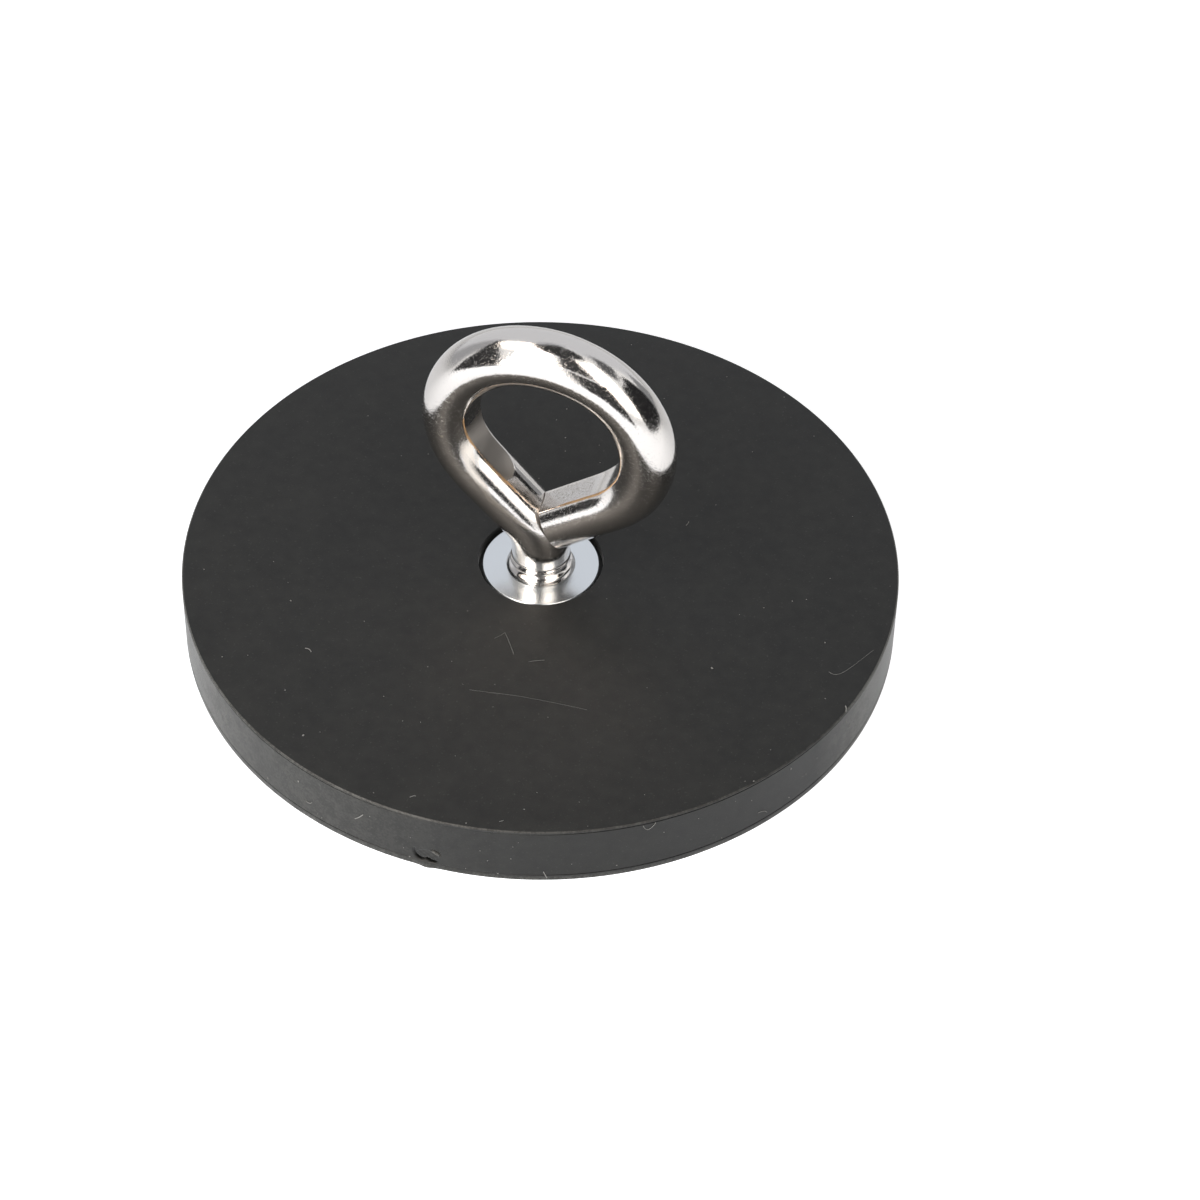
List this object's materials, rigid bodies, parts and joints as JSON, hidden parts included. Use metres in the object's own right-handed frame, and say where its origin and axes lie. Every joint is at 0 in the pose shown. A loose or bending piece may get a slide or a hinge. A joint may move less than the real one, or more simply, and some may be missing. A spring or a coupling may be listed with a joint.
{
  "type": "pot magnet",
  "caption": "Flat rubber-coated pot magnet: a black disc with neodymium magnets sealed under its face, a central threaded bush and a bent-wire eye screwed into it for hanging.",
  "frame": {"origin": "middle of the flat magnetic face, on the axis of the threaded bush", "axes": "+Z from the magnetic face up the shank of the eye; the eye is bent in the XZ plane with its open leg towards -X, so its hole opens along Y; the gate mark on the wall is at -Y"},
  "size_m": [0.088, 0.0884, 0.0455],
  "materials": {
    "rubber": "matt moulded black",
    "plate_steel": "plain mild steel, sealed inside the rubber",
    "zinc_steel": "zinc plated, fine turned face",
    "nickel_steel": "bright nickel plating over bent wire",
    "magnet_nickel": "nickel-plated neodymium, sealed inside the rubber"
  },
  "bodies": {
    "root": {"rubber_coating": "rubber", "steel_plate": "plate_steel", "threaded_bush": "zinc_steel", "eye_bolt": "nickel_steel", "magnet_01": "magnet_nickel", "magnet_02": "magnet_nickel", "magnet_03": "magnet_nickel", "magnet_04": "magnet_nickel", "magnet_05": "magnet_nickel", "magnet_06": "magnet_nickel", "magnet_07": "magnet_nickel", "magnet_08": "magnet_nickel", "magnet_09": "magnet_nickel", "magnet_10": "magnet_nickel", "magnet_11": "magnet_nickel", "magnet_12": "magnet_nickel", "magnet_13": "magnet_nickel", "magnet_14": "magnet_nickel", "magnet_15": "magnet_nickel", "magnet_16": "magnet_nickel", "magnet_17": "magnet_nickel", "magnet_18": "magnet_nickel"}
  },
  "joints": []
}
